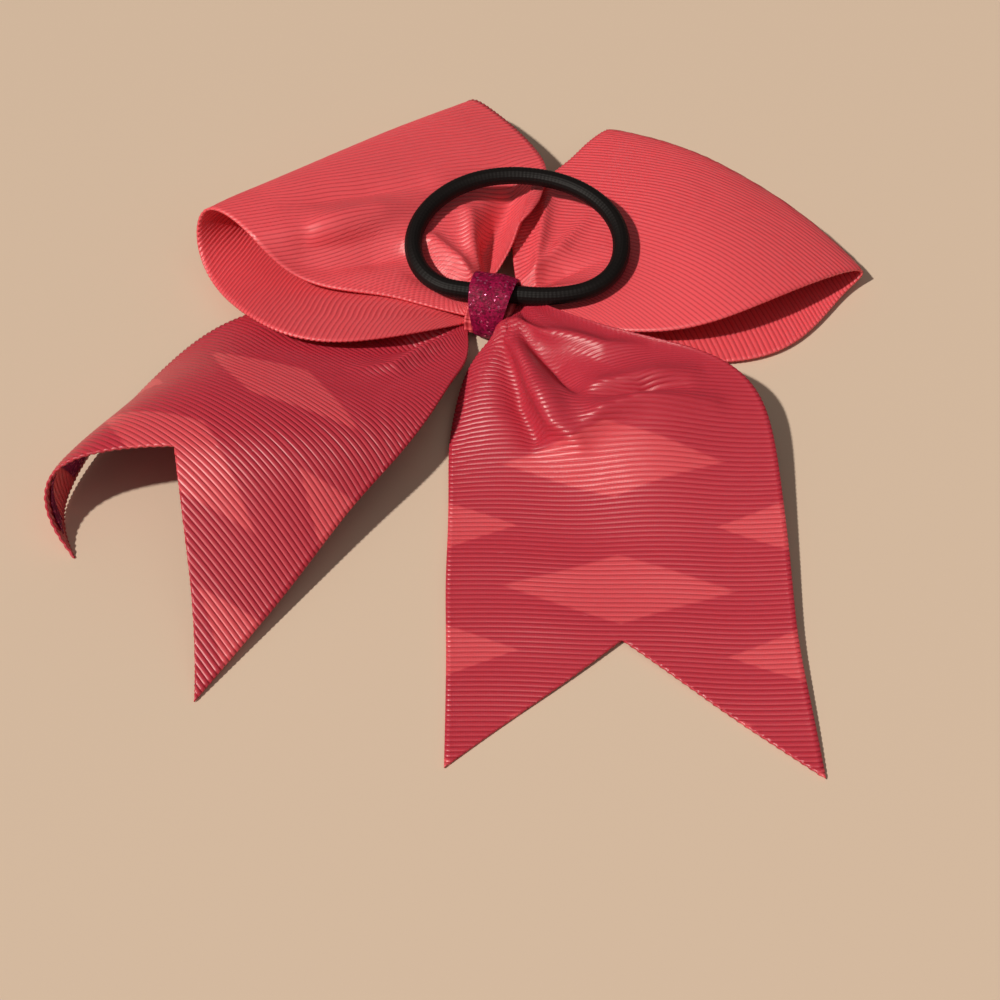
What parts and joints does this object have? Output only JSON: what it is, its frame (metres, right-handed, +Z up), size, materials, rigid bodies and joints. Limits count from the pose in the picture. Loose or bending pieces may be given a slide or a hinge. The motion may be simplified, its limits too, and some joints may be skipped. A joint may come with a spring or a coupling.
{
  "type": "ribbon hair bow",
  "caption": "Large ribbon hair bow with folded loops, notched tails, a glitter centre wrap and an elastic ring for a ponytail.",
  "frame": {"origin": "centre of the bow's box on the surface it lies on, face down", "axes": "+Y from the tails to the loops along the bow's centre line, +X to the right seen from above, +Z up, away from the bow's face"},
  "size_m": [0.1712, 0.2018, 0.0224],
  "materials": {
    "ribbon": "woven grosgrain with a low sheen",
    "glitter_film": "fine magenta glitter",
    "wrap_glitter": "glitter-coated ribbon",
    "elastic_braid": "tight black braid",
    "elastic_rubber": "matt",
    "sleeve": "matt",
    "tie": "natural nylon",
    "glue": "hot-melt glue"
  },
  "bodies": {
    "bow": {"left_loop": "ribbon", "right_loop": "ribbon", "left_tail_root": "ribbon", "right_tail_root": "ribbon", "pinched_centre": "ribbon", "gathering_tie": "tie", "wrap_glue": "glue", "centre_wrap": "wrap_glitter"},
    "left_tail": {"left_tail": "ribbon", "left_tail_glitter": "glitter_film"},
    "right_tail": {"right_tail": "ribbon", "right_tail_glitter": "glitter_film"},
    "hair_elastic": {"elastic_cover": "elastic_braid", "elastic_core": "elastic_rubber", "elastic_sleeve": "sleeve"}
  },
  "joints": [
    {"name": "left_tail_lift", "type": "hinge", "parent": "bow", "child": "left_tail", "pos_m": [-0.03236, -0.00957, 0.0183], "axis": [-0.8886, 0.4586, 0], "range_deg": [0, 55]},
    {"name": "right_tail_lift", "type": "hinge", "parent": "bow", "child": "right_tail", "pos_m": [-0.00024, 0.00498, 0.0133], "axis": [-0.8926, -0.4509, 0], "range_deg": [0, 55]},
    {"name": "elastic_swing", "type": "hinge", "parent": "bow", "child": "hair_elastic", "pos_m": [-0.01241, 0.02908, 0.01095], "axis": [0.9903, 0.1392, 0], "range_deg": [0, 100]}
  ]
}
